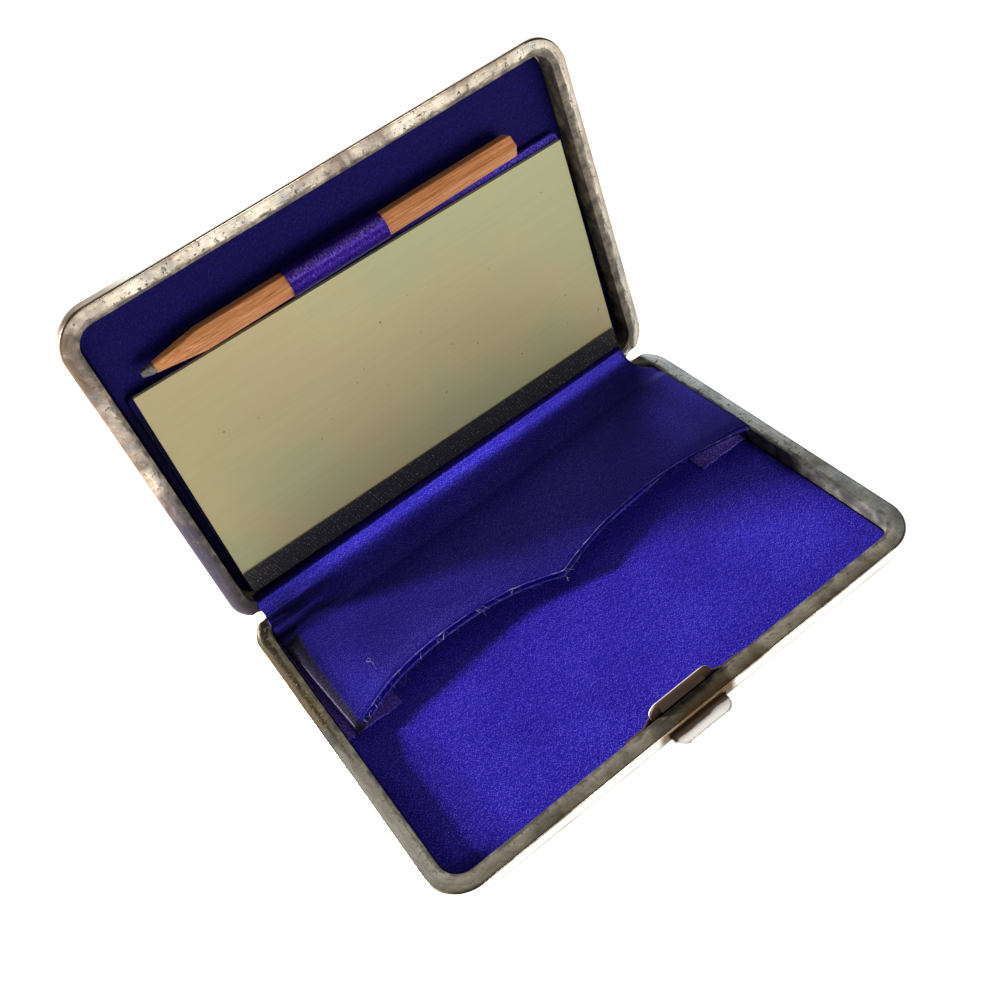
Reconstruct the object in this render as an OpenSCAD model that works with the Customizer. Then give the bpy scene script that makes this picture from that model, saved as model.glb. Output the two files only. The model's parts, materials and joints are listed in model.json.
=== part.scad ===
// Aide memoire case: two hinged silver trays lined with silk, holding a card pocket,
// a writing tablet bound in cloth and a slim pencil in a silk loop.
// The lid is drawn standing open. The origin is the middle of the base's flat underside,
// +X runs along the hinge, +Y points back to the hinge and +Z points up.

/* [Case] */
// Width of the case along its hinge
case_w = 100; // [90:1:120]
// Depth of each tray from its back wall to its front wall
case_d = 72; // [68:1:84]
// Height of the base from its flat underside to its rim
base_h = 5; // [5:0.1:7]
// Height of the lid from its rim to its flat top
lid_h = 5; // [5:0.1:7]
// Radius of the corners, seen from above
corner_r = 7; // [6:0.5:10]
// Rounding from the flat face of a tray into its side walls
edge_r = 3.6; // [3:0.1:4]
// Thickness of the silver sheet
wall_t = 0.5; // [0.4:0.05:0.8]

/* [Rim] */
// Width of the flat rim, seen from above
rim_w = 3.1; // [2.8:0.1:3.6]
// Thickness of the rim's flange
rim_t = 0.7; // [0.5:0.05:0.8]
// Rounding of the rim's outer edge
rim_round = 0.4; // [0.2:0.05:0.45]
// Thickness of the skirt that hangs from the rim's inner edge
skirt_t = 0.5; // [0.3:0.05:0.6]
// How far the skirt reaches down beside the lining
skirt_lap = 0.4; // [0.2:0.05:0.6]
// Gap between the two rims in the closed case
rim_gap = 0.2; // [0.1:0.05:0.4]

/* [Linings] */
// Thickness of the card under each lining
board_t = 0.8; // [0.5:0.1:1]
// Thickness of the silk with its thin padding
silk_t = 0.25; // [0.15:0.05:0.35]
// Gap between a lining and the skirt around it
lining_gap = 0.15; // [0.1:0.05:0.3]
// Glue line under a card
glue_t = 0.05; // [0.03:0.01:0.1]

/* [Hinge] */
// Angle at which the lid stands open
lid_open = 95.4; // [80:0.1:110]
// Spare angle left before the two back walls meet
stop_margin = 3; // [2:0.5:8]
// Outer diameter of the hinge knuckles
knuckle_d = 2.2; // [1.8:0.1:2.4]
// Diameter of the hinge pin
pin_d = 1; // [0.8:0.1:1.2]
// Gap around the pin in the knuckles
pin_gap = 0.05; // [0.02:0.01:0.08]
// Gap around the knuckles in their channel
channel_gap = 0.1; // [0.05:0.05:0.2]
// Gap between neighbouring knuckles
knuckle_gap = 0.15; // [0.1:0.05:0.3]
// Number of knuckles
knuckle_n = 7; // [5:2:11]
// Distance from a side wall to the end of the row of knuckles
hinge_end = 6; // [5:0.5:10]
// Depth of the bar that carries the knuckles under the flange
bearer_h = 1.2; // [0.8:0.1:1.5]

/* [Catch] */
// Place of the catch along the front, from the middle
catch_x = -1; // [-5:0.5:5]
// Width of the thumb-piece
thumb_w = 11.4; // [9:0.2:14]
// How far the thumb-piece stands out from the front wall
thumb_out = 3; // [2:0.1:4]
// Thickness of the thumb-piece
thumb_t = 0.9; // [0.7:0.1:1]
// Drop from the rim to the top of the thumb-piece
thumb_drop = 1.2; // [1.1:0.1:1.4]
// Radius of the thumb-piece's outer corners
thumb_round = 2.2; // [1:0.1:2.5]
// Rounding of the thumb-piece's upper edge
thumb_edge = 0.4; // [0.2:0.05:0.6]
// Gap around the thumb-piece in its slot
slot_gap = 0.2; // [0.1:0.05:0.3]
// Width of the tongue
tongue_w = 12.6; // [11:0.2:15]
// Thickness of the tongue
tongue_t = 0.5; // [0.4:0.05:0.6]
// Height of the tongue above the rim
tongue_rise = 2.4; // [2.2:0.1:2.6]
// Radius of the tongue's upper corners
tongue_round = 1.8; // [1:0.1:2]
// Gap between the rim's inner edge and the tongue
tongue_gap = 0.55; // [0.4:0.05:0.8]
// How far the hook reaches over the lid's rim
hook_catch = 0.25; // [0.15:0.05:0.35]
// Height of the hook
hook_h = 0.7; // [0.5:0.05:0.8]
// Gap between the hook and the lid's rim
hook_gap = 0.1; // [0.05:0.05:0.2]
// Length of the leaf spring
spring_len = 24; // [22:0.5:30]
// Thickness of the leaf spring
spring_t = 0.35; // [0.2:0.05:0.4]
// Height of the leaf spring
spring_h = 2; // [1.6:0.1:2.2]

/* [Pocket] */
// Distance from the hinge axis to the flap's back edge
flap_back = 5; // [5:0.1:8]
// Distance from the hinge axis to the tips of the flap's front edge
flap_front = 33.6; // [28:0.1:38]
// Depth of the left hollow in the flap's front edge
hollow_left = 2.5; // [1.5:0.1:5]
// Depth of the right hollow in the flap's front edge
hollow_right = 4.3; // [1.5:0.1:5]
// Gap between the flap and the skirt, shared by both sides
flap_side = 1.4; // [1.3:0.1:3]
// Shift of the flap to the right
flap_shift = 1.1; // [0:0.1:1.1]
// Thickness of the flap's card
flap_t = 0.5; // [0.3:0.05:0.6]
// Height of the flap's back edge above the lining
flap_lift = 1.55; // [1.5:0.05:1.7]
// Slope of the flap up to its front edge
flap_slope = 2.2; // [1:0.1:2.3]
// Lean of the flap up to the right
flap_lean = 1.1; // [0:0.1:1.1]
// Depth of the side folds
gusset_w = 9; // [6:0.5:14]
// Thickness of the side folds
gusset_t = 0.2; // [0.1:0.05:0.2]
// Gap beside a layer of silk
layer_gap = 0.05; // [0.03:0.01:0.08]
// Radius of the silk gutter over the hinge
gutter_r = 6.5; // [5:0.5:9]
// Depth of the silk gutter
gutter_dip = 0.7; // [0.5:0.05:0.9]
// Distance from the hinge axis to the edges of the gutter
gutter_edge = 4; // [3.8:0.1:4.5]
// Height of the gutter's edges above the rims
gutter_lift = 0.4; // [0.3:0.05:0.6]

/* [Tablet] */
// Gap between the tablet's leaf and the skirt at each side
tablet_side = 2.4; // [1.5:0.1:8]
// Distance from the hinge axis to the foot of the bare leaf
tablet_foot = 9; // [8.5:0.1:12]
// Height of the bare leaf above its cloth binding
tablet_h = 42.8; // [30:0.2:43]
// Thickness of the leaf
tablet_t = 0.8; // [0.4:0.1:0.9]
// Turn of the leaf in the plane of the lid
tablet_skew = 1.06; // [0:0.02:1.2]
// Width of the cloth binding
bind_w = 5.3; // [4.5:0.1:5.4]
// How far the binding laps over the leaf
bind_lap = 2; // [1:0.1:3]
// Thickness of the binding cloth
bind_t = 0.3; // [0.2:0.05:0.4]
// How far the silk-covered card behind the leaf stands out at each side of it
backing_lip = 0.5; // [0:0.1:1]
// How far the card stands out above the leaf
backing_rise = 0.6; // [0.2:0.1:1]
// Distance from the hinge axis to the card's lower edge
backing_foot = 4.4; // [4:0.1:6]
// Thickness of the card
backing_t = 1; // [0.6:0.1:1.1]
// Radius of the card's corners
backing_r = 1; // [0.5:0.1:2]

/* [Pencil] */
// Diameter of the pencil over its six corners
pencil_d = 4.4; // [3.6:0.1:4.6]
// Length of the pencil's wood
pencil_len = 73.5; // [50:0.5:76]
// Place of the pencil's right end, from the middle of the case
pencil_right = 35; // [25:0.5:36]
// Gap between the pencil's loop and the card behind the leaf
pencil_clear = 0.55; // [0.4:0.05:3]
// Length of the whittled taper
taper_len = 8; // [5:0.5:14]
// Diameter of the wood at the tip
taper_d = 2.5; // [2.2:0.1:3]
// Radius of the pencil's domed end
dome_r = 3.2; // [2.5:0.1:5]
// Diameter of the lead
lead_d = 2; // [1:0.1:2]
// Length of bare lead
lead_out = 2.4; // [1:0.1:3.5]
// Slope of the worn lead
lead_slope = 35; // [20:1:60]
// Gap around the lead in its bore
lead_gap = 0.02; // [0.01:0.01:0.04]
// Length of the silk loop
loop_len = 19.7; // [12:0.1:24]
// Place of the middle of the loop
loop_x = -2.9; // [-8:0.1:4]
// Thickness of the loop's silk
loop_t = 0.3; // [0.2:0.05:0.4]
// Gap around the pencil in its loop
loop_gap = 0.1; // [0.05:0.05:0.2]
// Width of the loop's stitched foot
loop_foot = 5; // [4:0.2:5.4]

/* [Hidden] */
$fn = 64;
over = 1;
// Opening inside the rims
in_w = case_w - 2 * rim_w;
in_d = case_d - 2 * rim_w;
in_r = corner_r - rim_w;
front_y = -case_d / 2;
front_in_y = front_y + rim_w;
back_in_y = case_d / 2 - rim_w;
// Hinge: the inset puts the meeting of the back walls just past the open angle
channel_r = knuckle_d / 2 + channel_gap;
hinge_inset = channel_r * cos((lid_open + stop_margin) / 2);
axis_y = case_d / 2 - hinge_inset;
axis_z = base_h + rim_gap / 2;
hinge_len = case_w - 2 * hinge_end;
knuckle_pitch = hinge_len / knuckle_n;
// Linings: the card lies just above the curve of the tray's inner edge
board_w = in_w - 2 * (lining_gap + silk_t);
board_d = in_d - 2 * (lining_gap + silk_t);
board_r = in_r - lining_gap - silk_t;
edge_in_r = edge_r - wall_t;
overhang = max(0, edge_r - rim_w - lining_gap);
floor_z = wall_t + edge_in_r - sqrt(edge_in_r * edge_in_r - overhang * overhang) + glue_t;
lining_z = floor_z + board_t + silk_t;
skirt_z = lining_z - skirt_lap;
// Catch
thumb_z = base_h - thumb_drop - thumb_t;
tongue_y = front_in_y + tongue_gap;
spring_y = tongue_y + tongue_t;
spring_z = base_h - layer_gap - spring_h;
hook_z = base_h + rim_gap + rim_t + hook_gap;
// Pocket
flap_w = in_w - 2 * flap_side;
flap_len = flap_front - flap_back;
// Tablet, in the lid tray's own frame
tablet_w = in_w - 2 * tablet_side;
backing_w = tablet_w + 2 * backing_lip;
backing_head = tablet_foot + tablet_h + backing_rise;
backing_z = lining_z + layer_gap;
leaf_z = backing_z + backing_t + silk_t + layer_gap;
tablet_mid_u = tablet_foot + (tablet_h - bind_w) / 2;
// Pencil, in the lid tray's own frame
loop_r = pencil_d / 2 + loop_gap + loop_t;
pencil_u = backing_head + silk_t + pencil_clear + loop_r;
pencil_y = axis_y - pencil_u;
pencil_z = lining_z + layer_gap + loop_r;
pencil_tip = pencil_right - pencil_len;

silver = "#b9b2a6";
silk_blue = "#2c1c96";
silk_dark = "#20145f";
card = "#cbb58a";
ivorine = "#b8b184";
bookcloth = "#26252a";
cedar = "#b9845a";
graphite = "#4a4a4d";

// Rectangle with round corners, centred
module round_rect(w, d, r) {
    square([w - 2 * r, d], center = true);
    square([w, d - 2 * r], center = true);
    for (x = [-1, 1], y = [-1, 1])
        translate([x * (w / 2 - r), y * (d / 2 - r)]) circle(r);
}

// Section of a tray's side, from the corner's centre out to the wall
module side_section(r, e, h) {
    square([r - e, h]);
    translate([0, e]) square([r, h - e]);
    intersection() {
        translate([r - e, e]) circle(e);
        square([r, h]);
    }
}

// Tray block with round corners and a rounded lower edge, standing on z = 0
module cushion(w, d, h, r, e) {
    long = w - 2 * r;
    deep = d - 2 * r;
    translate([-long / 2, -deep / 2, 0]) cube([long, deep, h]);
    for (side = [0, 180]) {
        rotate(side) translate([long / 2, deep / 2, 0]) rotate([90, 0, 0])
            linear_extrude(deep) side_section(r, e, h);
        rotate(side) translate([-long / 2, deep / 2, 0]) rotate([90, 0, 90])
            linear_extrude(long) side_section(r, e, h);
        rotate(side) translate([long / 2, deep / 2, 0])
            rotate_extrude(angle = 90) side_section(r, e, h);
        rotate(side) translate([-long / 2, deep / 2, 0]) rotate(90)
            rotate_extrude(angle = 90) side_section(r, e, h);
    }
}

// Room for the knuckles, cut along the back of a tray of height h
module hinge_channel(h) {
    translate([-case_w / 2 - over, axis_y, h + rim_gap / 2]) rotate([0, 90, 0])
        cylinder(r = channel_r, h = case_w + 2 * over);
}

// Room inside the sheet of a tray of height h
module tray_hollow(h) {
    translate([0, 0, wall_t])
        cushion(case_w - 2 * wall_t, case_d - 2 * wall_t, h, corner_r - wall_t, edge_in_r);
}

// Dished silver sheet of a tray, below its rim
module tray_shell(h) {
    difference() {
        cushion(case_w, case_d, h - rim_t, corner_r, edge_r);
        tray_hollow(h);
        hinge_channel(h);
    }
}

// Flat rim of a tray with its inner skirt and the bar that carries the knuckles
module tray_rim(h) {
    difference() {
        union() {
            translate([0, 0, h]) mirror([0, 0, 1])
                cushion(case_w, case_d, rim_t, corner_r, rim_round);
            translate([0, 0, skirt_z]) linear_extrude(h - rim_t - skirt_z)
                round_rect(in_w + 2 * skirt_t, in_d + 2 * skirt_t, in_r + skirt_t);
            intersection() {
                translate([-hinge_len / 2, back_in_y, h - rim_t - bearer_h])
                    cube([hinge_len, rim_w, bearer_h]);
                tray_hollow(h);
            }
        }
        translate([0, 0, -over]) linear_extrude(h + 2 * over) round_rect(in_w, in_d, in_r);
        hinge_channel(h);
    }
}

// Card of a lining, on the floor of its tray
module lining_card() {
    translate([0, 0, floor_z]) linear_extrude(board_t) round_rect(board_w, board_d, board_r);
}

// Silk stretched over a card and turned down round its edges
module silk_over(w, d, r, t) {
    difference() {
        linear_extrude(t + silk_t) round_rect(w + 2 * silk_t, d + 2 * silk_t, r + silk_t);
        translate([0, 0, -over]) linear_extrude(t + over) round_rect(w, d, r);
    }
}

// Every second knuckle of the hinge, from the given one
module knuckles(first) {
    for (i = [first : 2 : knuckle_n - 1])
        translate([-hinge_len / 2 + i * knuckle_pitch + knuckle_gap / 2, axis_y, axis_z])
            rotate([0, 90, 0]) difference() {
                cylinder(d = knuckle_d, h = knuckle_pitch - knuckle_gap);
                translate([0, 0, -over])
                    cylinder(r = pin_d / 2 + pin_gap, h = knuckle_pitch + 2 * over);
            }
}

// Turns a tray face down over the base and swings it open about the hinge
module as_lid() {
    translate([0, axis_y, axis_z]) rotate([-lid_open, 0, 0]) translate([0, -axis_y, -axis_z])
        translate([0, 0, base_h + rim_gap + lid_h]) mirror([0, 0, 1]) children();
}

module base_shell() {
    color(silver) difference() {
        tray_shell(base_h);
        translate([catch_x - thumb_w / 2 - slot_gap, front_y - over, thumb_z - slot_gap])
            cube([thumb_w + 2 * slot_gap, rim_w, thumb_t + 2 * slot_gap]);
    }
}

module base_rim() {
    color(silver) difference() {
        tray_rim(base_h);
        translate([catch_x - thumb_w / 2 - slot_gap, front_in_y - skirt_t - slot_gap, thumb_z - slot_gap])
            cube([thumb_w + 2 * slot_gap, skirt_t + 2 * slot_gap, thumb_t + 2 * slot_gap]);
    }
}

module base_knuckles() {
    color(silver) knuckles(0);
}

module hinge_pin() {
    color(silver) translate([-hinge_len / 2, axis_y, axis_z]) rotate([0, 90, 0])
        cylinder(d = pin_d, h = hinge_len);
}

module base_lining_card() {
    color(card) lining_card();
}

module base_lining_silk() {
    color(silk_blue) translate([0, 0, floor_z]) silk_over(board_w, board_d, board_r, board_t);
}

// Puts a child drawn on the flap's underside in place: y runs forward from the back edge
module on_flap() {
    translate([flap_shift, axis_y - flap_back, lining_z + flap_lift])
        rotate([-flap_slope, -flap_lean, 0]) mirror([0, 1, 0]) children();
}

// Round hollow across half of the flap's front edge
module flap_hollow(side, deep) {
    r = (flap_w * flap_w / 16 + deep * deep) / (2 * deep);
    translate([side * flap_w / 4, flap_len + r - deep]) circle(r, $fn = 180);
}

// Outline of the flap, with two hollows that meet in a point at the middle
module flap_outline() {
    difference() {
        translate([-flap_w / 2, 0]) square([flap_w, flap_len]);
        flap_hollow(-1, hollow_left);
        flap_hollow(1, hollow_right);
    }
}

module pocket_flap_card() {
    color(card) on_flap() linear_extrude(flap_t) flap_outline();
}

module pocket_flap_silk() {
    color(silk_dark) on_flap() translate([0, 0, flap_t]) linear_extrude(silk_t) flap_outline();
}

// Side fold of the pocket: one leaf on the lining, one up to the flap
module gusset(side) {
    edge = flap_w / 2 - gusset_t;
    bar = [gusset_t, flap_len - max(hollow_left, hollow_right), gusset_t];
    fold_x = flap_shift + side * (edge - gusset_w) - gusset_t / 2;
    edge_x = flap_shift + side * edge - gusset_t / 2;
    low = [axis_y - flap_back - bar[1], lining_z + layer_gap];
    hull() {
        translate([fold_x, low[0], low[1]]) cube(bar);
        translate([edge_x, low[0], low[1]]) cube(bar);
    }
    hull() {
        translate([fold_x, low[0], low[1]]) cube(bar);
        on_flap() translate([side * edge - gusset_t / 2, 0, -gusset_t - layer_gap]) cube(bar);
    }
}

module pocket_gusset_left() {
    color(silk_dark) gusset(-1);
}

module pocket_gusset_right() {
    color(silk_dark) gusset(1);
}

// Section of the silk gutter over the hinge, with the fall of silk to the back of the flap
module gutter_section() {
    half = lid_open / 2 - atan(gutter_lift / gutter_edge);
    reach = norm([gutter_edge, gutter_lift]);
    centre = reach * cos(half) - gutter_dip + gutter_r;
    ends = [for (r = [gutter_r, gutter_r + silk_t])
        centre * cos(half) - sqrt(r * r - pow(centre * sin(half), 2))];
    edge = [-gutter_edge, gutter_lift] / reach;
    foot = [silk_t - flap_back, lining_z + flap_lift - axis_z];
    rotate(180 - lid_open / 2) intersection() {
        translate([centre, 0]) difference() {
            circle(gutter_r + silk_t, $fn = 180);
            circle(gutter_r, $fn = 180);
        }
        polygon([[0, 0], 2 * reach * [cos(half), sin(half)], 2 * reach * [cos(half), -sin(half)]]);
    }
    polygon([ends[0] * edge, foot, foot + [silk_t, 0], ends[1] * edge]);
}

// Band of silk that hangs in a shallow gutter from the lid to the base, over the hinge
module hinge_silk() {
    color(silk_blue) translate([-in_w / 2 + flap_side, axis_y, axis_z]) rotate([90, 0, 90])
        linear_extrude(in_w - 2 * flap_side) gutter_section();
}

// Leaf spring: its ends bear on the skirt and its flat middle carries the tongue
module catch_spring() {
    end = spring_len / 2;
    flat = tongue_w / 2;
    rise = spring_y - front_in_y;
    color(silver) translate([catch_x, front_in_y, spring_z]) linear_extrude(spring_h)
        polygon([[-end, 0], [-flat, rise], [flat, rise], [end, 0],
            [end, spring_t], [flat, rise + spring_t], [-flat, rise + spring_t], [-end, spring_t]]);
}

module catch_tongue() {
    tall = base_h + tongue_rise - spring_z;
    hook_w = tongue_w - 2 * tongue_round;
    hook_out = tongue_gap + hook_catch;
    color(silver) {
        translate([catch_x, spring_y, spring_z]) rotate([90, 0, 0]) linear_extrude(tongue_t) {
            translate([-tongue_w / 2, 0]) square([tongue_w, tall - tongue_round]);
            translate([-tongue_w / 2 + tongue_round, 0]) square([hook_w, tall]);
            for (side = [-1, 1])
                translate([side * hook_w / 2, tall - tongue_round]) circle(tongue_round);
        }
        translate([catch_x - hook_w / 2, tongue_y, hook_z]) rotate([90, 0, 90])
            linear_extrude(hook_w) polygon([[0, 0], [-hook_out, 0], [0, hook_h]]);
    }
}

module thumb_piece() {
    reach = tongue_y - front_y + thumb_out;
    color(silver) translate([catch_x, tongue_y - reach / 2, thumb_z + thumb_t]) mirror([0, 0, 1])
        cushion(thumb_w, reach, thumb_t, thumb_round, thumb_edge);
}

module lid_shell() {
    color(silver) as_lid() tray_shell(lid_h);
}

module lid_rim() {
    window_h = hook_gap + hook_h + slot_gap;
    color(silver) as_lid() difference() {
        tray_rim(lid_h);
        translate([catch_x - tongue_w / 2, front_in_y - skirt_t - slot_gap, lid_h - rim_t - window_h])
            cube([tongue_w, skirt_t + 2 * slot_gap, window_h]);
    }
}

module lid_knuckles() {
    color(silver) knuckles(1);
}

module lid_lining_card() {
    color(card) as_lid() lining_card();
}

module lid_lining_silk() {
    color(silk_dark) as_lid() translate([0, 0, floor_z]) silk_over(board_w, board_d, board_r, board_t);
}

// Puts a child in the middle of the card behind the leaf, on the lid's lining
module on_backing() {
    as_lid() translate([0, axis_y - (backing_foot + backing_head) / 2, backing_z]) children();
}

module tablet_backing_card() {
    color(card) on_backing() linear_extrude(backing_t)
        round_rect(backing_w, backing_head - backing_foot, backing_r);
}

module tablet_backing_silk() {
    color(silk_dark) on_backing()
        silk_over(backing_w, backing_head - backing_foot, backing_r, backing_t);
}

// Turns a child about the middle of the tablet: y runs up from the hinge
module on_tablet() {
    as_lid() translate([0, axis_y - tablet_mid_u, leaf_z]) rotate(tablet_skew)
        mirror([0, 1, 0]) translate([0, -tablet_mid_u, 0]) children();
}

module tablet_leaf() {
    color(ivorine) on_tablet() translate([-tablet_w / 2, tablet_foot - bind_lap, 0])
        cube([tablet_w, tablet_h + bind_lap, tablet_t]);
}

// Cloth glued over the foot of the leaf and down on to the card
module tablet_binding() {
    foot = tablet_foot - bind_w;
    step = tablet_foot - bind_lap;
    color(bookcloth) on_tablet() translate([tablet_w / 2, 0, 0]) rotate([90, 0, -90])
        linear_extrude(tablet_w) polygon([[-foot, 0], [-step, 0], [-step, tablet_t],
            [-tablet_foot, tablet_t], [-tablet_foot, tablet_t + bind_t],
            [-foot - bind_t, tablet_t + bind_t], [-foot, tablet_t]]);
}

module pencil_loop() {
    color(silk_blue) as_lid() translate([loop_x - loop_len / 2, pencil_y, pencil_z]) difference() {
        union() {
            rotate([0, 90, 0]) cylinder(r = loop_r, h = loop_len);
            translate([0, -loop_foot / 2, -loop_r]) cube([loop_len, loop_foot, loop_t]);
        }
        translate([-over, 0, 0]) rotate([0, 90, 0])
            cylinder(r = pencil_d / 2 + loop_gap, h = loop_len + 2 * over);
    }
}

// Puts a child drawn upwards from the wood's tip along the pencil
module on_pencil() {
    as_lid() translate([pencil_tip, pencil_y, pencil_z]) rotate([0, 90, 0]) children();
}

module pencil_wood() {
    color(cedar) on_pencil() difference() {
        intersection() {
            cylinder(d = pencil_d, h = pencil_len, $fn = 6);
            union() {
                cylinder(d1 = taper_d, d2 = pencil_d, h = taper_len);
                translate([0, 0, taper_len]) cylinder(r = dome_r, h = pencil_len - dome_r - taper_len);
                translate([0, 0, pencil_len - dome_r]) sphere(dome_r);
            }
        }
        translate([0, 0, -over]) cylinder(r = lead_d / 2 + lead_gap, h = pencil_len + 2 * over);
    }
}

module pencil_lead() {
    color(graphite) on_pencil() difference() {
        translate([0, 0, -lead_out]) cylinder(d = lead_d, h = lead_out + pencil_len);
        translate([-lead_d / 2, -lead_d, -lead_out]) rotate([0, lead_slope, 0])
            translate([-lead_d, 0, -2 * lead_d]) cube([3 * lead_d, 2 * lead_d, 2 * lead_d]);
    }
}

base_shell();
base_rim();
base_knuckles();
hinge_pin();
base_lining_card();
base_lining_silk();
pocket_flap_card();
pocket_flap_silk();
pocket_gusset_left();
pocket_gusset_right();
hinge_silk();
catch_spring();
catch_tongue();
thumb_piece();
lid_shell();
lid_rim();
lid_knuckles();
lid_lining_card();
lid_lining_silk();
tablet_backing_card();
tablet_backing_silk();
tablet_leaf();
tablet_binding();
pencil_loop();
pencil_wood();
pencil_lead();
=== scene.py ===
# %% [markdown]
# # A silver aide memoire case
# The case is a pair of shallow silver trays on one long hinge, lined with violet silk.
# The base holds a card pocket, the lid holds a bound writing leaf and a pencil in a silk loop.
# The metal keeps its CAD shape. Everything soft is rebuilt here as cloth, because cloth that
# rolls over an edge or sags in a gutter is what makes such a lining look real.

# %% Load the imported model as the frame
import json
import math

import bpy
import numpy as np
from mathutils import Matrix, Vector


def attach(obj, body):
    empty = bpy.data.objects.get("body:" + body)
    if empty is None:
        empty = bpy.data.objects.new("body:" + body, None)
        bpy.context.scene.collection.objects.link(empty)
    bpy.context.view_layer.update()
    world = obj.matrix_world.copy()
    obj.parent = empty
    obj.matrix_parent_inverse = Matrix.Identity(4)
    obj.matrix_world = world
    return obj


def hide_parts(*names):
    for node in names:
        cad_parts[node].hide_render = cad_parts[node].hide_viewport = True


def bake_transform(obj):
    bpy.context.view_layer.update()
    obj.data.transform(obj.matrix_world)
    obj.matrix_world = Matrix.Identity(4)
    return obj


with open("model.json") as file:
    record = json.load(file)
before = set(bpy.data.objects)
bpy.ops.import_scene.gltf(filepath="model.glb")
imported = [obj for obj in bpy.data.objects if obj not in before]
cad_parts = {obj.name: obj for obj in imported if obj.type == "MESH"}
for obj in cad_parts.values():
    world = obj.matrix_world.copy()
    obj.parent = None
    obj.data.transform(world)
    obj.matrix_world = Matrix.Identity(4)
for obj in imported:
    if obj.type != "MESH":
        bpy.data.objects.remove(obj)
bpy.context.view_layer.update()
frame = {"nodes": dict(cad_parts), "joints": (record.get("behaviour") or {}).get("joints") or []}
MM = 0.001

# %% [markdown]
# ## Places on the base and on the open lid
# A maker thinks in distances from the hinge, so two helpers turn such distances into places.
# On the base, d runs forward from the hinge axis and z up from the underside.
# On the lid, u runs up from the hinge axis and z out from the lid's flat outside.

# %% Helpers for places
hinge = next(j for j in frame["joints"] if j["name"] == "lid_hinge")
axis_y, axis_z = hinge["pos_m"][1] / MM, hinge["pos_m"][2] / MM
lid_angle = math.radians(hinge["range_deg"][1])


def on_base(x, d, z):
    x, d, z = np.broadcast_arrays(x, d, z)
    return np.stack([x, axis_y - d, z], -1)


def on_lid(x, u, z):
    x, u, drop = np.broadcast_arrays(x, u, axis_z - np.asarray(z, float))
    y = axis_y - u * math.cos(lid_angle) + drop * math.sin(lid_angle)
    return np.stack([x, y, axis_z + u * math.sin(lid_angle) + drop * math.cos(lid_angle)], -1)


print("hinge axis at y", axis_y, "z", axis_z, "mm, lid open by", hinge["range_deg"][1], "degrees")

# %% [markdown]
# ## The camera
# The view was solved from the straight edges of both trays: a short lens, held in front of the
# left half and above it. The small shift stands for the crop of the picture.

# %% Camera
picture_w, focal, film_w = 1000, 1154.71, 36
lens = bpy.data.cameras.new("camera")
lens.sensor_width = film_w
lens.lens = focal * film_w / picture_w
lens.shift_x, lens.shift_y = 0.0397, -0.0518
lens.clip_start = 0.01
camera = bpy.data.objects.new("camera", lens)
bpy.context.scene.collection.objects.link(camera)
right = Vector((0.79676, -0.54254, -0.26613))
down = Vector((-0.55450, -0.48131, -0.67888))
ahead = Vector((0.24023, 0.68847, -0.68432))
eye = Vector((-51.12, -120.51, 166.5))
turn = Matrix([right, -down, -ahead]).transposed().to_4x4()
camera.matrix_world = Matrix.Translation(eye * MM) @ turn
bpy.context.scene.camera = camera
print("camera at", [round(v / MM) for v in camera.location], "mm")

# %% [markdown]
# ## Materials from nodes
# Each finish is a small tree of nodes. One function adds a node, sets it, links it and gives back
# its output, and one turns the hex colours that a painter reads off a sample into the linear
# colours of the renderer. Wear, and painted light and shade, are always the same two questions: how
# far does it reach, and what colour does it leave? So share_of multiplies soft ramps into such a
# reach, and one more helper lays a colour over it.

# %% Helpers for materials
def linear(hex_colour):
    parts = [int(hex_colour[i : i + 2], 16) / 255 for i in (1, 3, 5)]
    return [p / 12.92 if p <= 0.04045 else ((p + 0.055) / 1.055) ** 2.4 for p in parts] + [1.0]


def fill(tree, node, inputs):
    for key, value in inputs.items():
        if isinstance(value, bpy.types.NodeSocket):
            tree.links.new(value, node.inputs[key])
        else:
            node.inputs[key].default_value = linear(value) if isinstance(value, str) else value


def add(tree, kind, inputs={}, out=None, stops=(), **settings):
    node = tree.nodes.new("ShaderNode" + kind)
    for key, value in settings.items():
        setattr(node, key, value)
    fill(tree, node, inputs)
    for i, (place, colour) in enumerate(stops):
        ramp = node.color_ramp.elements
        stop = ramp[i] if i < 2 else ramp.new(place)
        stop.position, stop.color = place, linear(colour)
    return node.outputs[out] if out else next(socket for socket in node.outputs if socket.enabled)


def per(size):
    return 1 / (size * MM)


def share_of(tree, *limits, unit=1.0):
    """Product of shares. A ramp is given as its value, start and end, and its shares at both."""
    share = None
    for limit in limits:
        if isinstance(limit, tuple):
            value, start, end, low, high = (*limit, 0.0, 1.0)[:5]
            limit = add(tree, "MapRange", {"Value": value, "From Min": start * unit, "From Max": end * unit,
                                           "To Min": low, "To Max": high})
        share = limit if share is None else add(tree, "Math", {0: share, 1: limit}, operation="MULTIPLY")
    return share


def lay_colour(tree, colour, other, *limits, unit=1.0, **settings):
    share = share_of(tree, *limits, unit=unit)
    return add(tree, "Mix", {0: share, 6: colour, 7: other}, data_type="RGBA", **settings)


def new_finish(name):
    material = bpy.data.materials.new(name)
    material.use_nodes = True
    return material, material.node_tree, material.node_tree.nodes["Principled BSDF"]


def dress(tree, shader, inputs, height, depth, strength=1.0):
    """Fill the shader's sockets and give it a relief, with its depth in millimetres."""
    relief = add(tree, "Bump", {"Height": height, "Distance": depth * MM, "Strength": strength})
    fill(tree, shader, {**inputs, "Normal": relief})


# %% [markdown]
# ## Floor and light
# A pale floor and soft light, as for a catalogue picture. The shadow of the pocket's edge on the
# lining shows that the main light stood low at the left and a little behind. A weak light from the
# front gives the lit band in the silk over the hinge. The room is dim, so shadows stay deep, apart
# from a pale wall behind, which the polished rim mirrors. Low down that wall is lit white, and the
# lid's upper side mirrors it.

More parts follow.
